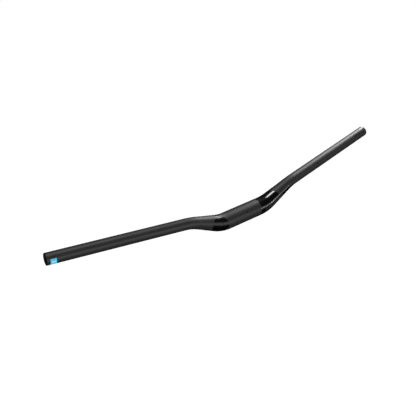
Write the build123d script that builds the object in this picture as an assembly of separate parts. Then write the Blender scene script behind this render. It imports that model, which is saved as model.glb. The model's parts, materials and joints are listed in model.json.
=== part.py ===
from build123d import *
from itertools import accumulate
import math
import os

# Riser handlebar: one seamless aluminium tube, thick at the clamp, butted inside, drawn down to slim
# grips and bent twice on each side. The origin is the middle of the clamp zone. X runs along the bar,
# with +X at the rider's left hand, +Y is rearward and +Z is up. Sizes are in millimetres and degrees.

# Overall form
WIDTH = 800.0  # between the centres of the two cut ends, along X
RISE = 28.0  # from the clamp's axis up to the corner of the outer bend
SHOULDER_RUN = 70.5  # along X, from the corner of the inner bend to that of the outer bend
UPSWEEP = 4.0  # climb of the grips towards their ends, seen from the front
BACKSWEEP = 8.5  # rearward turn of the grips, seen from above
INNER_BEND_RADIUS = 80.0  # of the tube's axis, beside the clamp
OUTER_BEND_RADIUS = 80.0  # of the tube's axis, where the grip begins

# Clamp zone
CLAMP_DIAMETER = 35.0
CLAMP_LENGTH = 70.0
BEND_LEAD = 6.2  # straight axis between the clamp zone and the inner bend

# Grips
GRIP_DIAMETER = 22.2

# Wall
CLAMP_WALL = 2.6
GRIP_WALL = 1.8
BUTT_RUNOUT = 40.0  # straight stretch of each grip in which the wall still thins

# Cut ends
OUTER_CHAMFER = 0.5
INNER_CHAMFER = 0.4

# Construction
SECTION_PITCH = 6.0  # most that two neighbouring sections of a taper lie apart

TAPER_START = CLAMP_LENGTH / 2


def tube_axis():
    """The axis of the +X half: clamp and lead, inner bend, shoulder, outer bend and grip."""
    slope = math.atan2(RISE, SHOULDER_RUN)
    setback = INNER_BEND_RADIUS * math.tan(slope / 2)
    inner_corner = Vector(TAPER_START + BEND_LEAD + setback, 0, 0)
    outer_corner = inner_corner + Vector(SHOULDER_RUN, 0, RISE)
    sweep = Vector(1, math.tan(math.radians(BACKSWEEP)), math.tan(math.radians(UPSWEEP)))
    end = outer_corner + sweep * (WIDTH / 2 - outer_corner.X)
    return FilletPolyline(
        (0, 0, 0),
        inner_corner,
        outer_corner,
        end,
        radius=(INNER_BEND_RADIUS, OUTER_BEND_RADIUS),
    )


AXIS = tube_axis()

# Distances along the axis from the middle of the clamp
RUN_ENDS = list(accumulate(edge.length for edge in AXIS.edges().sort_by(Axis.X)))
LEAD_END, SHOULDER_START, SHOULDER_END, GRIP_START, GRIP_END = RUN_ENDS
BUTT_END = GRIP_START + BUTT_RUNOUT


def ease(distance, start, end):
    """From 0 at start to 1 at end, level at both, so that a taper runs smoothly into its neighbours."""
    share = min(max((distance - start) / (end - start), 0), 1)
    return share * share * (3 - 2 * share)


def outer_radius(distance):
    """Outside radius of the tube at a distance along the axis."""
    drop = (CLAMP_DIAMETER - GRIP_DIAMETER) / 2
    return CLAMP_DIAMETER / 2 - drop * ease(distance, TAPER_START, GRIP_START)


def bore_radius(distance):
    """Inside radius there: the wall goes on thinning for a way into the straight grip."""
    thinning = (CLAMP_WALL - GRIP_WALL) * ease(distance, TAPER_START, BUTT_END)
    return outer_radius(distance) - CLAMP_WALL + thinning


def spread(start, end):
    """Distances from start to end, evenly spaced and no more than the section pitch apart."""
    count = math.ceil((end - start) / SECTION_PITCH)
    return [start + (end - start) * i / count for i in range(count + 1)]


def station(distance):
    """The plane square to the axis there, with X level so that a loft doesn't twist."""
    along = AXIS.tangent_at(distance, PositionMode.LENGTH)
    centre = AXIS.position_at(distance, PositionMode.LENGTH)
    return Plane(centre, x_dir=Vector(0, 0, 1).cross(along), z_dir=along)


def long_edge(radius_at, stops):
    """A long edge of a half section: straight where the radius stays the same, curved where it eases."""
    edges = []
    for start, end in zip(stops, stops[1:]):
        points = [(radius_at(s), s - stops[0]) for s in spread(start, end)]
        level = radius_at(start) == radius_at(end)
        edges.append(Line(points[0], points[-1]) if level else Spline(points))
    return edges


def turned_run(outer_stops, bore_stops, rim=()):
    """A straight run of tube, turned from its half section. A rim is the points of its far face."""
    outside = long_edge(outer_radius, outer_stops)
    bore = long_edge(bore_radius, bore_stops)
    near = Line(outside[0] @ 0, bore[0] @ 0)
    far = Polyline(outside[-1] @ 1, *rim, bore[-1] @ 1)
    half_section = make_face([*outside, *bore, near, far])
    return station(outer_stops[0]) * revolve(Plane.XZ * half_section, Axis.Z)


def bent_run(start, end):
    """A curved run of tube, lofted through rings square to the axis."""
    rings = []
    for s in spread(start, end):
        rings.append(station(s) * (Circle(outer_radius(s)) - Circle(bore_radius(s))))
    return loft(rings)


def clamp():
    """The zone in the middle that the stem grips, one plain ring across both halves."""
    ring = Cylinder(outer_radius(0), CLAMP_LENGTH) - Cylinder(bore_radius(0), CLAMP_LENGTH)
    return Rot(0, 90, 0) * ring


def straight_run(start, end):
    """A turned run whose outside and bore ease from end to end."""
    return turned_run((start, end), (start, end))


def grip():
    """The straight grip, butted inside, up to its chamfered open end."""
    length = GRIP_END - GRIP_START
    rim = (
        (outer_radius(GRIP_END) - OUTER_CHAMFER, length),
        (bore_radius(GRIP_END) + INNER_CHAMFER, length),
    )
    outer_stops = (GRIP_START, GRIP_END - OUTER_CHAMFER)
    bore_stops = (GRIP_START, BUTT_END, GRIP_END - INNER_CHAMFER)
    return turned_run(outer_stops, bore_stops, rim)


def handlebar():
    """The whole tube: the clamp, then one half run by run from the clamp out, and its mirror image."""
    lead = straight_run(TAPER_START, LEAD_END)
    inner_bend = bent_run(LEAD_END, SHOULDER_START)
    shoulder = straight_run(SHOULDER_START, SHOULDER_END)
    outer_bend = bent_run(SHOULDER_END, GRIP_START)
    half = lead + inner_bend + shoulder + outer_bend + grip()
    return clamp() + half + mirror(half, about=Plane.YZ)


os.makedirs("parts", exist_ok=True)
bar = handlebar().solid()
bar.label = "handlebar"
export_step(bar, "parts/handlebar.step")
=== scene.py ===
"""Looks of a riser handlebar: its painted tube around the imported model, on a plain studio stage.

The file is laid out as a Blender add-on and is run as a script. Lengths are in metres and angles in
radians. X runs along the bar, +Y is rearward and +Z is up, and the origin is the middle of the clamp.
Places on the skin are given by the distance along the tube's axis, with +X positive, and by the angle
round it, from the front (-Y) up over the top.
"""

import json
import math

import bpy
import numpy as np
from bpy.props import FloatProperty, FloatVectorProperty, IntProperty, PointerProperty
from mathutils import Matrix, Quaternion, Vector


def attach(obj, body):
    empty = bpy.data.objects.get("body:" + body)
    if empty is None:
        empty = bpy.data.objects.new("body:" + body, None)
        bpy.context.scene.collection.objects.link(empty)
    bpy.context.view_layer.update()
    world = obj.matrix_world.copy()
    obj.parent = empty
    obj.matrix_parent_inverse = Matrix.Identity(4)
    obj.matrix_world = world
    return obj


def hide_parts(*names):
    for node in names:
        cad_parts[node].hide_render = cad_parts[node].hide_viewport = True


bl_info = {
    "name": "Riser handlebar",
    "version": (1, 0, 0),
    "blender": (4, 5, 0),
    "location": "3D View > Sidebar > Handlebar",
    "description": "Dresses a packed riser handlebar in its paint and sets it on a studio stage",
    "category": "Object",
}

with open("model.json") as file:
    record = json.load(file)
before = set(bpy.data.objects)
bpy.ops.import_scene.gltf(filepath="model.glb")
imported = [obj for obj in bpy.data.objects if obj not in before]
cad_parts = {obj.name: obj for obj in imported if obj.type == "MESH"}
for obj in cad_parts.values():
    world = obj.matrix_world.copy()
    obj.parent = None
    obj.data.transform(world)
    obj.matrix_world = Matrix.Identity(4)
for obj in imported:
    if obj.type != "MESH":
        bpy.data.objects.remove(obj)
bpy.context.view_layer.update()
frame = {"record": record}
MM = 0.001
MOUNTS = {mount["name"]: mount for mount in frame["record"]["mounts"]}
CLAMP = MOUNTS["stem_clamp"]["dims"]
GRIP = MOUNTS["left_grip"]["dims"]
GRIP_AXIS = MOUNTS["left_grip"]["axis"]
BORE = MOUNTS["left_end_bore"]["dims"]

TUBE_PLACE = "tube_place"  # per vertex: distance along the axis, then cosine and sine of the angle
BAKE_MAP = "OFBake"
PAINT, CUT_END, BORE_WALL = range(3)  # material slots of the bar
SHARP = math.radians(30)
PRINT_EDGE = 0.25 * MM  # softness of a printed edge along the bar
PRINT_EDGE_ANGLE = math.radians(1)  # the same round the bar
SOCKETS = {"ior": "IOR", "coat_ior": "Coat IOR"}  # sockets whose names aren't plain titles

NOISE_MIDDLE = 0.5  # mean of a noise
MATTE_DARK, MATTE_LIGHT = 0.80, 1.25  # darkest and lightest matte paint, as shares of its colour
CLOUD_SHARE, GRAIN_SHARE = 0.30, 0.25  # of clouds and grain in that paint's shade
CLOUD_ROUGHNESS, GRAIN_ROUGHNESS = 0.012, 0.03  # how far they change its roughness
RUB_DETAIL = 4  # of the rubbed places on the cut ends
RUB_LEVEL, RUB_EDGE = 0.62, 0.12  # noise level at which they begin, and its softness
RUB_SHARE, RUB_LIGHT = 0.5, 3.0  # how far they show, and their shade as a share of the paint's
RUB_POLISH = 0.15  # how much smoother they are
STREAK_STRETCH = (4.0, 1.0, 1.0)  # of the places in the bore, so that its streaks run along it
STREAK_SIZE, STREAK_DETAIL = 0.02, 3  # of those streaks, in the stretched places
BORE_DARK, BORE_LIGHT = 0.6, 1.6  # shade between and on the streaks, as shares of the bore's colour
STREAK_ROUGHNESS = 0.3  # how much rougher the streaks are
SENSOR_WIDTH = 36  # of the camera, in mm
SWEEP_POINTS = 25  # along the dark sheet's curve
HORIZON_EDGE = 0.03  # softness of the backdrop's upper edge


def length(name, description, default):
    """A size that a user may change."""
    return FloatProperty(name=name, description=description, default=default, precision=5,
                         subtype="DISTANCE", unit="LENGTH")


def angle(name, description, degrees):
    """An angle that a user may change."""
    return FloatProperty(name=name, description=description, default=math.radians(degrees),
                         subtype="ANGLE", unit="ROTATION")


def colour(name, description, default):
    """A linear colour that a user may change."""
    return FloatVectorProperty(name=name, description=description, default=default, size=3,
                               min=0, max=1, subtype="COLOR")


def share(name, description, default):
    """A number from 0 to 1 that a user may change."""
    return FloatProperty(name=name, description=description, default=default, min=0, max=1,
                         subtype="FACTOR")


def ratio(name, description, default):
    """A plain number above 1 that a user may change."""
    return FloatProperty(name=name, description=description, default=default, min=1)


def point(name, description, default):
    """A place that a user may change."""
    return FloatVectorProperty(name=name, description=description, default=default, size=3,
                               subtype="XYZ", unit="LENGTH")


def sheet(name, description, default):
    """Width and height of a flat thing that a user may change."""
    return FloatVectorProperty(name=name, description=description, default=default, size=2,
                               unit="LENGTH")


def watts(name, description, default):
    """The power of a lamp."""
    return FloatProperty(name=name, description=description, default=default, min=0, unit="POWER")


class TubeSizes(bpy.types.PropertyGroup):
    """Sizes of the tube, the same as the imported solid's."""

    width: length("Width", "Between the centres of the two cut ends", 800 * MM)
    rise: length("Rise", "From the clamp's axis up to the corner of the outer bend", 28 * MM)
    shoulder_run: length("Shoulder run", "Along X, between the corners of the two bends", 70.5 * MM)
    upsweep: angle("Upsweep", "Climb of the grips towards their ends",
                   math.degrees(math.atan2(GRIP_AXIS[2], GRIP_AXIS[0])))
    backsweep: angle("Backsweep", "Rearward turn of the grips",
                     math.degrees(math.atan2(GRIP_AXIS[1], GRIP_AXIS[0])))
    bend_radius: length("Bend radius", "Of the axis, in both bends", 80 * MM)
    bend_lead: length("Bend lead", "Straight axis between the clamp and the inner bend", 6.2 * MM)
    clamp_diameter: length("Clamp diameter", "Outside, where the stem grips", 2 * CLAMP["r_mm"] * MM)
    clamp_length: length("Clamp length", "Straight zone for the stem", CLAMP["length_mm"] * MM)
    grip_diameter: length("Grip diameter", "Outside, from the outer bend on", 2 * GRIP["r_mm"] * MM)
    clamp_wall: length("Clamp wall", "Thickness at the clamp", 2.6 * MM)
    grip_wall: length("Grip wall", "Thickness at the ends", (GRIP["r_mm"] - BORE["r_mm"]) * MM)
    butt_runout: length("Butt runout", "Stretch of the grip in which the wall still thins", 40 * MM)
    outer_chamfer: length("Outer chamfer", "At the cut ends, outside", 0.5 * MM)
    inner_chamfer: length("Inner chamfer", "At the cut ends, inside", 0.4 * MM)
    taper_pitch: length("Taper pitch", "Between rings of the mesh in tapers and bends", 1.5 * MM)
    plain_pitch: length("Plain pitch", "Between rings of the mesh where the tube is plain", 6 * MM)
    bore_pitch: length("Bore pitch", "Between rings of the mesh inside the tube", 9 * MM)
    segments: IntProperty(name="Segments", description="Faces round the tube", default=96, min=12)


class PaintLook(bpy.types.PropertyGroup):
    """Colours of the finish, and where its prints and its label lie along the bar and round it."""

    matte: colour("Matte black", "Main paint", (0.0128, 0.0128, 0.0131))
    gloss: colour("Gloss black", "Lacquer and satin print", (0.0008, 0.0008, 0.0009))
    label: colour("Label blue", "Field near the -X end", (0.012, 0.51, 0.84))
    label_bar: colour("Label bar", "Bar across the label", (0.36, 0.64, 0.80))
    cut_end: colour("Cut end black", "Paint on the cut ends", (0.013, 0.013, 0.0133))
    bore: colour("Bore black", "Inside of the tube", (0.005, 0.005, 0.0055))
    matte_roughness: share("Matte roughness", "Main paint", 0.534)
    gloss_roughness: share("Gloss roughness", "Lacquer print", 0.16)
    satin_roughness: share("Satin roughness", "Print without lacquer", 0.27)
    label_roughness: share("Label roughness", "Printed label", 0.40)
    coat_roughness: share("Coat roughness", "Clear lacquer over the gloss print", 0.15)
    cut_end_roughness: share("Cut end roughness", "Paint on the cut ends", 0.55)
    bore_roughness: share("Bore roughness", "Inside of the tube, between its streaks", 0.45)
    paint_index: ratio("Paint index", "Refractive index of the paint", 1.44)
    coat_index: ratio("Coat index", "Refractive index of the lacquer", 1.60)
    cloud_size: length("Cloud size", "Of the matte paint's faint clouds", 18 * MM)
    rub_size: length("Rub size", "Of the rubbed places on the cut ends", 1.5 * MM)
    grain_size: length("Grain size", "Of the matte paint's powdery surface", 0.8 * MM)
    grain_height: length("Grain height", "Of that surface", 0.002 * MM)
    lacquer_height: length("Lacquer height", "Step from the matte paint up to the print", 0.02 * MM)
    panel_start: length("Panel start", "Ring beside the clamp where the +X panel begins", 35.4 * MM)
    panel_end: length("Panel end", "Its slanted outer edge, at the bar's top", 82.6 * MM)
    panel_lead: length("Panel lead", "How much further that edge lies at the front", 8.7 * MM)
    flank_end: length("Flank end", "Where the +X panel's lower stripe ends", 120 * MM)
    flank_low: angle("Flank low", "Lower edge of that stripe", -34)
    flank_high: angle("Flank high", "Upper edge of that stripe", 18)
    inlay_start: length("Inlay start", "Inner end of the matte bar in that stripe", 46 * MM)
    inlay_end: length("Inlay end", "Outer end of that bar", 99 * MM)
    inlay_low: angle("Inlay low", "Lower edge of that bar", -11)
    inlay_high: angle("Inlay high", "Upper edge of that bar", 3)
    wedge_inner: length("Wedge inner", "Inner edge of the -X wedge, at the bar's top", -66 * MM)
    wedge_inner_lead: length("Wedge inner lead", "How much further it lies at the front", 17 * MM)
    wedge_outer: length("Wedge outer", "Outer edge of the -X wedge, at the bar's top", -77 * MM)
    wedge_outer_lead: length("Wedge outer lead", "How much further it lies at the front", -11 * MM)
    keyline_low: angle("Keyline low", "Lower edge of the matte line through the wedge", 8)
    keyline_high: angle("Keyline high", "Upper edge of that line", 19)
    crest_low: angle("Crest line low", "Lower edge of the matte line over the wedge's crest", 63)
    crest_high: angle("Crest line high", "Upper edge of that line", 76)
    label_start: length("Label start", "Outer edge of the label", -402.3 * MM)
    label_end: length("Label end", "Inner edge of the label", -391.5 * MM)
    label_low: angle("Label low", "Lower edge of the label", -75)
    label_high: angle("Label high", "Upper edge of the label", 20.5)
    bar_start: length("Label bar start", "Outer end of the label's bar", -400.7 * MM)
    bar_end: length("Label bar end", "Inner end of the label's bar", -393.0 * MM)
    bar_low: angle("Label bar low", "Lower edge of the label's bar", -17)
    bar_high: angle("Label bar high", "Upper edge of the label's bar", 1)
    tick_pitch: length("Tick pitch", "Step of the trim scales at the ends", 5 * MM)
    tick_width: length("Tick width", "Of their ticks", 2.2 * MM)
    near_scale_first: length("Near scale first", "Start of the -X scale, from the end", 19 * MM)
    near_scale_last: length("Near scale last", "End of the -X scale, from the end", 33 * MM)
    near_scale_low: angle("Near scale low", "Lower edge of the -X scale", 9)
    near_scale_high: angle("Near scale high", "Upper edge of the -X scale", 26)
    far_scale_first: length("Far scale first", "Start of the +X scale, from the end", 6 * MM)
    far_scale_last: length("Far scale last", "End of the +X scale, from the end", 50 * MM)
    far_scale_low: angle("Far scale low", "Lower edge of the +X scale", 24)
    far_scale_high: angle("Far scale high", "Upper edge of the +X scale", 64)
    near_scale_weight: share("Near scale weight", "How strongly the -X scale is printed", 0.45)
    tip_band: length("Tip band", "Rough black band at the +X end, except on the crest", 5.5 * MM)
    tip_patch: length("Tip patch", "Length of the smooth patch on the crest, from the end", 17 * MM)
    tip_low: angle("Tip patch low", "Front edge of that patch", 77)
    tip_high: angle("Tip patch high", "Rear edge of that patch", 112)
    band_roughness: share("Band roughness", "Rough black band", 0.80)
    tip_roughness: share("Tip patch roughness", "Smooth patch", 0.43)
    centre_width: length("Centre mark width", "Of the dot and the line at the clamp's middle", 2.0 * MM)
    dot_low: angle("Dot low", "Lower edge of that dot", 14)
    dot_high: angle("Dot high", "Upper edge of that dot", 17.67)
    line_low: angle("Line low", "Lower edge of that line", 25)
    line_high: angle("Line high", "Upper edge of that line", 38)


class StudioSet(bpy.types.PropertyGroup):
    """Camera, lamps and surroundings."""

    camera_place: point("Camera place", "Where the camera stands", (-0.75480, -0.86639, 0.66356))
    camera_aim: point("Camera aim", "Point in the middle of the picture", (-0.04999, 0.04657, 0.01116))
    camera_roll: angle("Camera roll", "Turn about the line of sight", -1.932)
    camera_lens: FloatProperty(name="Lens", description="Focal length on a 36 mm wide sensor, in mm",
                               default=58.188)
    floor_drop: length("Floor drop", "Floor below the clamp's axis", 1.6)
    floor_size: length("Floor size", "Side of the square floor", 60.0)
    floor_paint: share("Floor paint", "Pale grey of the floor", 0.55)
    floor_white: share("Floor white", "Light that the floor gives off as a backdrop", 0.985)
    # Painted fill light: the floor gives this glow off itself for diffuse rays, lighting the bar from
    # below.
    floor_fill_glow: share("Floor bounce", "Light that the floor throws back up onto the bar", 0.95)
    ambient: share("Ambient", "Level of the studio's dim surroundings", 0.025)
    backdrop_top: angle("Backdrop top", "Height of the white backdrop above the horizon", 6)
    sweep_radius: length("Sweep radius", "Dark sheet under and behind the bar", 1.4)
    sweep_length: length("Sweep length", "The same, along the bar", 10.0)
    sweep_front: angle("Sweep front", "Height of its front edge above the horizon", -12)
    sweep_back: angle("Sweep back", "Height of its rear edge above the horizon", 20)
    sweep_paint: share("Sweep paint", "Dark grey of that sheet", 0.01)
    overhead_place: point("Overhead place", "Softbox above the bar", (0.105, 0.19, 1.95))
    overhead_aim: point("Overhead aim", "Where it points", (0.105, 0.0, 0.0))
    overhead_size: sheet("Overhead size", "Width and height of that softbox", (1.52, 0.80))
    overhead_power: watts("Overhead power", "Of that softbox", 25.5)
    end_place: point("End lamp place", "Softbox beyond the +X end", (0.996, 0.375, 0.555))
    end_aim: point("End lamp aim", "Where it points", (0.33, 0.03, 0.045))
    end_size: sheet("End lamp size", "Width and height of that softbox", (0.32, 0.32))
    end_power: watts("End lamp power", "Of that softbox", 11.3)
    front_place: point("Front strip place", "Long low strip in front of the bar", (-1.02, -1.91, -0.13))
    front_aim: point("Front strip aim", "Where it points", (-1.5, 0.0, 0.0))
    front_size: sheet("Front strip size", "Width and height of that strip", (4.2, 0.10))
    front_power: watts("Front strip power", "Of that strip", 26.8)


class Field:
    """A number that varies over a surface. Arithmetic on it adds Math nodes to its shader."""

    def __init__(self, shader, socket):
        self.shader = shader
        self.socket = socket

    def output(self, name):
        """Another output of the same node."""
        return Field(self.shader, self.socket.node.outputs[name])

    def math(self, operation, *values):
        """A Math node on these values, of which this field is one."""
        return self.shader.add("ShaderNodeMath", {"operation": operation}, dict(enumerate(values)))

    def __add__(self, other):
        return self.math("ADD", self, other)

    def __sub__(self, other):
        return self.math("SUBTRACT", self, other)

    def __rsub__(self, other):
        return self.math("SUBTRACT", other, self)

    def __mul__(self, other):
        return self.math("MULTIPLY", self, other)

    def __or__(self, other):
        return self.math("MAXIMUM", self, other)

    __radd__ = __add__
    __rmul__ = __mul__

    def rise(self, place, softness=PRINT_EDGE):
        """From 0 to 1 where the field passes a place."""
        return self.shader.add(
            "ShaderNodeMapRange",
            {"interpolation_type": "SMOOTHSTEP"},
            {"Value": self, "From Min": place - softness / 2, "From Max": place + softness / 2},
        )

    def between(self, low, high, softness=PRINT_EDGE):
        """1 where the field lies between two places."""
        return self.rise(low, softness) * (1 - self.rise(high, softness))

    def every(self, pitch):
        """Distance from the nearest multiple of a pitch."""
        return self.math("PINGPONG", self, pitch / 2)


class Shader:
    """The nodes of a material or of the world."""

    def __init__(self, owner):
        owner.use_nodes = True
        self.tree = owner.node_tree
        self.tree.nodes.clear()

    def add(self, kind, settings=None, inputs=None, output=0):
        """A node of this type: its settings first, then the values or links of its sockets."""
        node = self.tree.nodes.new(kind)
        for name, value in (settings or {}).items():
            setattr(node, name, value)
        for name, value in (inputs or {}).items():
            if isinstance(value, Field):
                self.tree.links.new(value.socket, node.inputs[name])
            else:
                node.inputs[name].default_value = value
        return Field(self, node.outputs[output]) if node.outputs else None

    def mix(self, share_of_second, first, second):
        """A colour between two colours."""
        colours = {6: first, 7: second}
        return self.add("ShaderNodeMix", {"data_type": "RGBA"}, {"Factor": share_of_second, **colours}, 2)

    def noise(self, place, size, detail=2.0):
        """Random blotches of about this size, from 0 to 1."""
        return self.add("ShaderNodeTexNoise", {}, {"Vector": place, "Scale": 1 / size, "Detail": detail})

    def surface(self, **inputs):
        """A Principled surface on these sockets, shown by the material."""
        names = [SOCKETS.get(name, name.replace("_", " ").title()) for name in inputs]
        made = self.add("ShaderNodeBsdfPrincipled", {}, dict(zip(names, inputs.values())))
        self.add("ShaderNodeOutputMaterial", {}, {"Surface": made})


class Skin:
    """Places on the tube's surfaces as fields, read from the mesh."""

    def __init__(self, shader):
        self.shader = shader
        self.place = shader.add("ShaderNodeAttribute", {"attribute_name": TUBE_PLACE}, output="Vector")
        self.along = shader.add("ShaderNodeSeparateXYZ", {}, {"Vector": self.place})
        self.front = self.along.output("Y")
        up = self.along.output("Z")
        self.around = up.math("ARCTAN2", up, self.front)
        self.solid = shader.add("ShaderNodeTexCoord", output="Object")

    def arc(self, low, high):
        """1 between two angles round the tube."""
        return self.around.between(low, high, PRINT_EDGE_ANGLE)

    def patch(self, start, end, low, high):
        """1 on a patch between two distances along the tube and two angles round it."""
        return self.along.between(start, end) * self.arc(low, high)

    def slanted(self, place, lead):
        """From 0 to 1 past a plane that cuts the tube on a slant, at this place on its top."""
        return (self.along - self.front * lead).rise(place)


def opaque(rgb, level=1.0):
    """A colour, or a share of it, with full alpha, as colour sockets take it."""
    return (*(level * part for part in rgb), 1.0)


def grey(level):
    """A grey as a colour socket takes it."""
    return (level, level, level, 1.0)


def ease(distance, start, end):
    """From 0 at start to 1 at end, level at both."""
    part = min(max((distance - start) / (end - start), 0), 1)
    return part * part * (3 - 2 * part)


class Axis:
    """The tube's axis from the clamp's middle to the +X end, walked run by run."""

    def __init__(self, tube):
        self.place = Vector()
        self.heading = Vector((1, 0, 0))
        self.stations = [(0.0, self.place, self.heading)]
        shoulder = Vector((tube.shoulder_run, 0, tube.rise))
        sweep = Vector((1, math.tan(tube.backsweep), math.tan(tube.upsweep)))
        inner_setback = tube.bend_radius * math.tan(self.heading.angle(shoulder) / 2)
        outer_setback = tube.bend_radius * math.tan(shoulder.angle(sweep) / 2)
        lead = tube.clamp_length / 2 + tube.bend_lead
        outer_corner = lead + inner_setback + tube.shoulder_run
        grip = (tube.width / 2 - outer_corner) * sweep.length - outer_setback
        self.straight(tube.clamp_length / 2, tube.plain_pitch)
        self.straight(tube.bend_lead, tube.taper_pitch)
        self.bend(shoulder.normalized(), tube.bend_radius, tube.taper_pitch)
        self.straight(shoulder.length - inner_setback - outer_setback, tube.taper_pitch)
        self.bend(sweep.normalized(), tube.bend_radius, tube.taper_pitch)
        self.grip_start = self.stations[-1][0]
        self.straight(grip, tube.plain_pitch)
        self.stops = [station[0] for station in self.stations]
        self.end = self.stops[-1]

    def straight(self, run, pitch):
        """Walks straight on."""
        start = self.stations[-1][0]
        origin = self.place
        for part in np.linspace(0, 1, math.ceil(run / pitch) + 1)[1:]:
            self.place = origin + self.heading * (run * part)
            self.stations.append((start + run * part, self.place, self.heading))

    def bend(self, heading, radius, pitch):
        """Walks round an arc to a new heading."""
        start = self.stations[-1][0]
        origin = self.place
        first = self.heading
        turn = first.angle(heading)
        side = (heading - first * math.cos(turn)).normalized()
        for swing in np.linspace(0, turn, math.ceil(radius * turn / pitch) + 1)[1:]:
            self.place = origin + (first * math.sin(swing) + side * (1 - math.cos(swing))) * radius
            self.heading = first * math.cos(swing) + side * math.sin(swing)
            self.stations.append((start + radius * swing, self.place, self.heading))

    def at(self, distance):
        """Centre and heading at a distance from the clamp's middle."""
        after = min(max(int(np.searchsorted(self.stops, distance)), 1), len(self.stops) - 1)
        low, high = self.stations[after - 1], self.stations[after]
        part = (distance - low[0]) / (high[0] - low[0])
        return low[1].lerp(high[1], part), low[2].lerp(high[2], part).normalized()

    def frame(self, distance):
        """Centre, front and up of a ring of either half. Front is -Y, made square to the axis."""
        centre, heading = self.at(abs(distance))
        front = (Vector((0, -1, 0)) + heading * heading.y).normalized()
        up = front.cross(heading)
        side = math.copysign(1, distance)
        return [(side * v.x, v.y, v.z) for v in (centre, front, up)]


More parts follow.
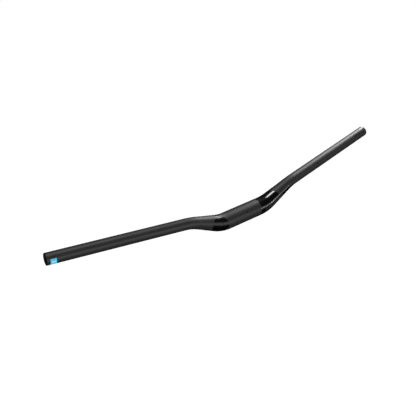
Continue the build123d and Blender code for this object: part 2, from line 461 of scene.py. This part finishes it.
class BarMesh:
    """Rings round the axis, joined into one closed tube wall."""

    map_gap = 6 * MM  # between the rows of the bake map
    map_rows = 3  # of the outside in that map
    bore_scale = 0.25  # of the bore there

    def __init__(self, tube):
        self.tube = tube
        self.axis = Axis(tube)
        shell = self.shell_rings()
        rings = shell + self.bore_rings()
        self.shell_strips = len(shell) - 1
        self.distance, self.radius, self.side = (np.array(values) for values in zip(*rings))
        self.around = np.linspace(-math.pi, math.pi, tube.segments, endpoint=False)

    def outer_radius(self, distance):
        """Outside radius at a distance from the clamp's middle."""
        drop = (self.tube.clamp_diameter - self.tube.grip_diameter) / 2
        eased = ease(distance, self.tube.clamp_length / 2, self.axis.grip_start)
        return self.tube.clamp_diameter / 2 - drop * eased

    def bore_radius(self, distance):
        """Inside radius there."""
        thinning = self.tube.clamp_wall - self.tube.grip_wall
        butt_end = self.axis.grip_start + self.tube.butt_runout
        eased = ease(distance, self.tube.clamp_length / 2, butt_end)
        return self.outer_radius(distance) - self.tube.clamp_wall + thinning * eased

    def shell_rings(self):
        """Distance, radius and side of each ring over the outside, from the -X mouth to the +X mouth."""
        tube, end = self.tube, self.axis.end
        half = [(stop, self.outer_radius(stop), PAINT) for stop in self.axis.stops[:-1]]
        half += [
            (end - tube.outer_chamfer, self.outer_radius(end), PAINT),
            (end, self.outer_radius(end) - tube.outer_chamfer, CUT_END),
            (end, self.bore_radius(end) + tube.inner_chamfer, CUT_END),
            (end - tube.inner_chamfer, self.bore_radius(end), BORE_WALL),
        ]
        mirrored = [(-distance, radius, side) for distance, radius, side in reversed(half[1:])]
        return mirrored + half

    def bore_rings(self):
        """The same through the bore, from the +X mouth back to the -X one, without those two."""
        mouth = self.axis.end - self.tube.inner_chamfer
        strips = 2 * math.ceil(mouth / self.tube.bore_pitch)
        stops = np.linspace(mouth, -mouth, strips + 1)[1:-1]
        return [(stop, self.bore_radius(abs(stop)), BORE_WALL) for stop in stops]

    def vertices(self):
        """Points of all rings, ring by ring."""
        frames = np.array([self.axis.frame(distance) for distance in self.distance])
        centre, front, up = frames[:, None, 0], frames[:, None, 1], frames[:, None, 2]
        cosine, sine = np.cos(self.around)[:, None], np.sin(self.around)[:, None]
        return centre + self.radius[:, None, None] * (cosine * front + sine * up)

    def faces(self):
        """Quads between each ring and the next, with the loop closed."""
        count, segments = len(self.distance), len(self.around)
        ring, spoke = np.meshgrid(np.arange(count), np.arange(segments), indexing="ij")
        next_ring, next_spoke = (ring + 1) % count, (spoke + 1) % segments
        corners = [(ring, spoke), (next_ring, spoke), (next_ring, next_spoke), (ring, next_spoke)]
        return np.stack([r * segments + s for r, s in corners], axis=-1).reshape(-1, 4)

    def slots(self):
        """Material slot of every face: that of its two rings, or the cut end's where they differ."""
        strips = np.where(self.side == np.roll(self.side, -1), self.side, CUT_END)
        return np.repeat(strips, len(self.around)).astype(np.int32)

    def places(self):
        """Distance along the axis, and cosine and sine of the angle, of every vertex."""
        count, segments = len(self.distance), len(self.around)
        return np.stack([
            np.repeat(self.distance, segments),
            np.tile(np.cos(self.around), count),
            np.tile(np.sin(self.around), count),
        ], axis=1)

    def bake_places(self):
        """The wall unrolled into rows, one above the other: the outside in three, then a smaller bore."""
        steps = np.hypot(np.diff(self.distance, append=self.distance[0]),
                         np.diff(self.radius, append=self.radius[0]))
        ends = np.cumsum(steps)
        starts = ends - steps
        row_length = ends[self.shell_strips - 1] / self.map_rows
        row = np.minimum((starts + ends) / 2 // row_length, self.map_rows).astype(int)
        scale = np.where(row < self.map_rows, 1.0, self.bore_scale)
        left = (starts - row * row_length) * scale + self.map_gap
        right = left + steps * scale
        girth = 2 * math.pi * self.radius * scale
        heights = np.array([girth[row == number].max() for number in range(self.map_rows + 1)])
        tops = np.cumsum(heights + self.map_gap)
        edges = np.linspace((tops - heights)[row], tops[row], len(self.around) + 1, axis=1)
        low, high = edges[:, :-1], edges[:, 1:]
        left, right = (np.broadcast_to(edge[:, None], low.shape) for edge in (left, right))
        corners = np.stack([(left, low), (right, low), (right, high), (left, high)])
        map_side = max(tops[-1], right.max()) + self.map_gap
        return corners.transpose(2, 3, 0, 1).reshape(-1, 2) / map_side

    def build(self, name):
        """The mesh, with the tube's places at its vertices and a map for baking."""
        mesh = bpy.data.meshes.new(name)
        mesh.from_pydata(self.vertices().reshape(-1, 3).tolist(), [], self.faces().tolist())
        mesh.polygons.foreach_set("material_index", self.slots())
        mesh.shade_smooth()
        mesh.set_sharp_from_angle(angle=SHARP)
        attribute = mesh.attributes.new(TUBE_PLACE, "FLOAT_VECTOR", "POINT")
        attribute.data.foreach_set("vector", self.places().astype(np.float32).ravel())
        layer = mesh.uv_layers.new(name=BAKE_MAP)
        layer.uv.foreach_set("vector", self.bake_places().astype(np.float32).ravel())
        mesh.validate()
        return mesh


def trim_scale(skin, look, from_end, first, last, root, tip):
    """Ticks for cutting the bar to length, drawn from a root angle, with every second one long."""
    half_way = (root + tip) / 2
    half_tick = look.tick_width / 2
    short = (1 - from_end.every(look.tick_pitch).rise(half_tick)) * skin.arc(*sorted((root, half_way)))
    long = (1 - from_end.every(2 * look.tick_pitch).rise(half_tick)) * skin.arc(*sorted((root, tip)))
    return from_end.between(first, last) * (short | long)


def lacquer_print(skin, look):
    """1 on the +X shoulder's lacquered panel: a collar and a lower stripe that holds one matte bar."""
    past_ring = skin.along.rise(look.panel_start)
    collar = past_ring * (1 - skin.slanted(look.panel_end, look.panel_lead))
    flank = skin.patch(look.panel_start, look.flank_end, look.flank_low, look.flank_high)
    inlay = skin.patch(look.inlay_start, look.inlay_end, look.inlay_low, look.inlay_high)
    return (collar | flank) * (1 - inlay)


def satin_print(skin, look, reach):
    """1 on the satin print: the -X shoulder's wedge, the trim scales and the centre mark."""
    past_outer = skin.slanted(look.wedge_outer, look.wedge_outer_lead)
    past_inner = skin.slanted(look.wedge_inner, look.wedge_inner_lead)
    lines = skin.arc(look.keyline_low, look.keyline_high) | skin.arc(look.crest_low, look.crest_high)
    wedge = past_outer * (1 - past_inner) * (1 - lines)
    half_mark = look.centre_width / 2
    marks = skin.arc(look.dot_low, look.dot_high) | skin.arc(look.line_low, look.line_high)
    centre = skin.along.between(-half_mark, half_mark) * marks
    near = trim_scale(skin, look, reach + skin.along, look.near_scale_first, look.near_scale_last,
                      look.near_scale_low, look.near_scale_high)
    far = trim_scale(skin, look, reach - skin.along, look.far_scale_first, look.far_scale_last,
                     look.far_scale_high, look.far_scale_low)
    return wedge | centre | near * look.near_scale_weight | far


def paint_material(look, reach):
    """Matte black paint with a powdery grain, lacquered and satin black print and one blue label."""
    material = bpy.data.materials.new("bar_paint")
    shader = Shader(material)
    skin = Skin(shader)
    lacquer = lacquer_print(skin, look)
    satin = satin_print(skin, look, reach)
    label = skin.patch(look.label_start, look.label_end, look.label_low, look.label_high)
    bar = skin.patch(look.bar_start, look.bar_end, look.bar_low, look.bar_high)
    from_tip = reach - skin.along
    crest = skin.arc(look.tip_low, look.tip_high)
    band = (1 - from_tip.rise(look.tip_band)) * (1 - crest)
    tip = (1 - from_tip.rise(look.tip_patch)) * crest
    cloud = shader.noise(skin.solid, look.cloud_size)
    grain = shader.noise(skin.solid, look.grain_size)
    fine = grain - NOISE_MIDDLE
    base = shader.mix(cloud * CLOUD_SHARE + grain * GRAIN_SHARE, opaque(look.matte, MATTE_DARK),
                      opaque(look.matte, MATTE_LIGHT))
    colours = [
        (lacquer | satin, look.gloss),
        (label, look.label),
        (bar, look.label_bar),
        (band, look.gloss),
    ]
    for area, paint in colours:
        base = shader.mix(area, base, opaque(paint))
    rough = look.matte_roughness + CLOUD_ROUGHNESS * (cloud - NOISE_MIDDLE) + GRAIN_ROUGHNESS * fine
    finishes = [
        (tip, look.tip_roughness),
        (lacquer, look.gloss_roughness),
        (satin, look.satin_roughness),
        (label, look.label_roughness),
        (band, look.band_roughness),
    ]
    for area, finish in finishes:
        rough = rough + area * (finish - rough)
    printed = lacquer | satin | label
    height = fine * look.grain_height * (1 - printed) + printed * look.lacquer_height
    normal = shader.add("ShaderNodeBump", {}, {"Strength": 1.0, "Distance": 1.0, "Height": height})
    shader.surface(base_color=base, roughness=rough, normal=normal, ior=look.paint_index,
                   coat_weight=lacquer, coat_roughness=look.coat_roughness, coat_ior=look.coat_index)
    return material


def cut_end_material(look):
    """Black paint over the cut, rubbed a little in places."""
    material = bpy.data.materials.new("bar_cut_end")
    shader = Shader(material)
    skin = Skin(shader)
    rub = shader.noise(skin.solid, look.rub_size, RUB_DETAIL).rise(RUB_LEVEL, RUB_EDGE)
    base = shader.mix(rub * RUB_SHARE, opaque(look.cut_end), opaque(look.cut_end, RUB_LIGHT))
    shader.surface(base_color=base, roughness=look.cut_end_roughness - RUB_POLISH * rub)
    return material


def bore_material(look):
    """Dark inside of the tube, with faint streaks along it from drawing."""
    material = bpy.data.materials.new("bar_bore")
    shader = Shader(material)
    skin = Skin(shader)
    stretched = shader.add("ShaderNodeVectorMath", {"operation": "MULTIPLY"},
                           {0: skin.place, 1: STREAK_STRETCH})
    streak = shader.noise(stretched, STREAK_SIZE, STREAK_DETAIL)
    base = shader.mix(streak, opaque(look.bore, BORE_DARK), opaque(look.bore, BORE_LIGHT))
    shader.surface(base_color=base, roughness=look.bore_roughness + STREAK_ROUGHNESS * streak)
    return material


class HANDLEBAR_OT_make_bar(bpy.types.Operator):
    """Builds the tube with its paint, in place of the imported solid"""

    bl_idname = "handlebar.make_bar"
    bl_label = "Make bar"

    def execute(self, context):
        look = context.scene.handlebar_paint
        wall = BarMesh(context.scene.handlebar_tube)
        mesh = wall.build("bar_tube")
        mesh.materials.append(paint_material(look, wall.axis.end))
        mesh.materials.append(cut_end_material(look))
        mesh.materials.append(bore_material(look))
        bar = bpy.data.objects.new("bar_tube", mesh)
        context.scene.collection.objects.link(bar)
        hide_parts("handlebar")
        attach(bar, "root")
        return {"FINISHED"}


def aimed(place, target, roll=0.0):
    """The turn that points -Z from a place to a target, with Y as near to up as it goes."""
    sight = Vector(target) - Vector(place)
    return sight.to_track_quat("-Z", "Y") @ Quaternion((0, 0, 1), roll)


def put(scene, name, data, place=(0, 0, 0), turn=Quaternion()):
    """An object for this data, in the scene."""
    made = bpy.data.objects.new(name, data)
    made.location = place
    made.rotation_mode = "QUATERNION"
    made.rotation_quaternion = turn
    scene.collection.objects.link(made)
    return made


def put_lamp(scene, name, place, target, size, power, shape="RECTANGLE"):
    """A softbox that the camera doesn't see."""
    data = bpy.data.lights.new(name, "AREA")
    data.shape = shape
    data.size, data.size_y = size
    data.energy = power
    put(scene, name, data, place, aimed(place, target)).visible_camera = False


def backdrop_seen(shader):
    """1 for rays that show the backdrop: the camera's, reflections and rays through clear materials."""
    camera = shader.add("ShaderNodeLightPath", output="Is Camera Ray")
    return camera | camera.output("Is Glossy Ray") | camera.output("Is Transmission Ray")


class HANDLEBAR_OT_make_stage(bpy.types.Operator):
    """Sets up the floor, the lamps, the surroundings and the camera"""

    bl_idname = "handlebar.make_stage"
    bl_label = "Make stage"

    def execute(self, context):
        scene = context.scene
        studio = scene.handlebar_studio
        self.add_camera(scene, studio)
        self.add_floor(scene, studio)
        self.add_sweep(scene, studio)
        self.add_world(scene, studio)
        put_lamp(scene, "overhead_softbox", studio.overhead_place, studio.overhead_aim,
                 studio.overhead_size, studio.overhead_power, "ELLIPSE")
        put_lamp(scene, "end_softbox", studio.end_place, studio.end_aim, studio.end_size,
                 studio.end_power)
        put_lamp(scene, "front_strip", studio.front_place, studio.front_aim, studio.front_size,
                 studio.front_power)
        scene.view_settings.view_transform = "Standard"
        return {"FINISHED"}

    def add_camera(self, scene, studio):
        """The camera, where the photograph's stood."""
        data = bpy.data.cameras.new("camera")
        data.sensor_width = SENSOR_WIDTH
        data.lens = studio.camera_lens
        turn = aimed(studio.camera_place, studio.camera_aim, studio.camera_roll)
        scene.camera = put(scene, "camera", data, studio.camera_place, turn)

    def add_floor(self, scene, studio):
        """A pale floor well below the bar, white as a backdrop, that also glows onto it as a painted fill
        light from below.
        """
        half = studio.floor_size / 2
        mesh = bpy.data.meshes.new("floor")
        mesh.from_pydata([(-half, -half, 0), (half, -half, 0), (half, half, 0), (-half, half, 0)], [],
                         [(0, 1, 2, 3)])
        material = bpy.data.materials.new("floor_white")
        material.cycles.emission_sampling = "NONE"
        shader = Shader(material)
        paint = shader.add("ShaderNodeBsdfDiffuse", {}, {"Color": grey(studio.floor_paint)})
        seen = backdrop_seen(shader) * studio.floor_white
        # Painted fill light: a glow that only diffuse rays see, which lights the bar from below.
        fill_glow = shader.add("ShaderNodeLightPath", output="Is Diffuse Ray") * studio.floor_fill_glow
        glow = shader.add("ShaderNodeEmission", {}, {"Color": grey(1), "Strength": seen + fill_glow})
        both = shader.add("ShaderNodeAddShader", {}, {0: paint, 1: glow})
        shader.add("ShaderNodeOutputMaterial", {}, {"Surface": both})
        mesh.materials.append(material)
        put(scene, "floor", mesh, (0, 0, -studio.floor_drop))

    def add_sweep(self, scene, studio):
        """A dark sheet curved under and behind the bar, which only its reflections show."""
        front = math.pi - studio.sweep_front
        turns = np.linspace(front, 2 * math.pi + studio.sweep_back, SWEEP_POINTS)
        half = studio.sweep_length / 2
        edge = [(studio.sweep_radius * math.cos(t), studio.sweep_radius * math.sin(t)) for t in turns]
        points = [(x, y, z) for y, z in edge for x in (-half, half)]
        faces = [(2 * i, 2 * i + 1, 2 * i + 3, 2 * i + 2) for i in range(len(edge) - 1)]
        mesh = bpy.data.meshes.new("dark_sweep")
        mesh.from_pydata(points, [], faces)
        material = bpy.data.materials.new("sweep_black")
        shader = Shader(material)
        cloth = shader.add("ShaderNodeBsdfDiffuse", {}, {"Color": grey(studio.sweep_paint)})
        shader.add("ShaderNodeOutputMaterial", {}, {"Surface": cloth})
        mesh.materials.append(material)
        sweep = put(scene, "dark_sweep", mesh)
        for ray in ("camera", "diffuse", "transmission", "volume_scatter", "shadow"):
            setattr(sweep, "visible_" + ray, False)

    def add_world(self, scene, studio):
        """Dim surroundings with a white backdrop up to a little above the horizon."""
        world = bpy.data.worlds.new("studio")
        scene.world = world
        world.cycles.sampling_method = "NONE"
        shader = Shader(world)
        direction = shader.add("ShaderNodeTexCoord", output="Generated")
        height = shader.add("ShaderNodeSeparateXYZ", {}, {"Vector": direction}, output="Z")
        low = 1 - height.rise(math.sin(studio.backdrop_top), HORIZON_EDGE)
        camera = shader.add("ShaderNodeLightPath", output="Is Camera Ray")
        white = camera | backdrop_seen(shader) * low
        shade = shader.mix(white, grey(studio.ambient), grey(1))
        background = shader.add("ShaderNodeBackground", {}, {"Color": shade, "Strength": 1.0})
        shader.add("ShaderNodeOutputWorld", {}, {"Surface": background})


class HANDLEBAR_PT_panel(bpy.types.Panel):
    """Lists the steps and their settings"""

    bl_idname = "HANDLEBAR_PT_panel"
    bl_label = "Riser handlebar"
    bl_space_type = "VIEW_3D"
    bl_region_type = "UI"
    bl_category = "Handlebar"

    def draw(self, context):
        for step, groups in STEPS.items():
            self.layout.operator(step)
            for group in groups:
                settings = getattr(context.scene, group)
                column = self.layout.column(align=True)
                for name in settings.__annotations__:
                    column.prop(settings, name)


GROUPS = {"handlebar_tube": TubeSizes, "handlebar_paint": PaintLook, "handlebar_studio": StudioSet}
STEPS = {
    "handlebar.make_stage": ("handlebar_studio",),
    "handlebar.make_bar": ("handlebar_tube", "handlebar_paint"),
}
CLASSES = (*GROUPS.values(), HANDLEBAR_OT_make_stage, HANDLEBAR_OT_make_bar, HANDLEBAR_PT_panel)


def register():
    """Adds the classes to Blender and their settings to its scenes."""
    for made in CLASSES:
        bpy.utils.register_class(made)
    for name, group in GROUPS.items():
        setattr(bpy.types.Scene, name, PointerProperty(type=group))


def unregister():
    """Takes them out again."""
    for name in GROUPS:
        delattr(bpy.types.Scene, name)
    for made in reversed(CLASSES):
        bpy.utils.unregister_class(made)


def main():
    """Builds the stage and the bar."""
    register()
    bpy.ops.handlebar.make_stage()
    bpy.ops.handlebar.make_bar()


if __name__ == "__main__":
    main()
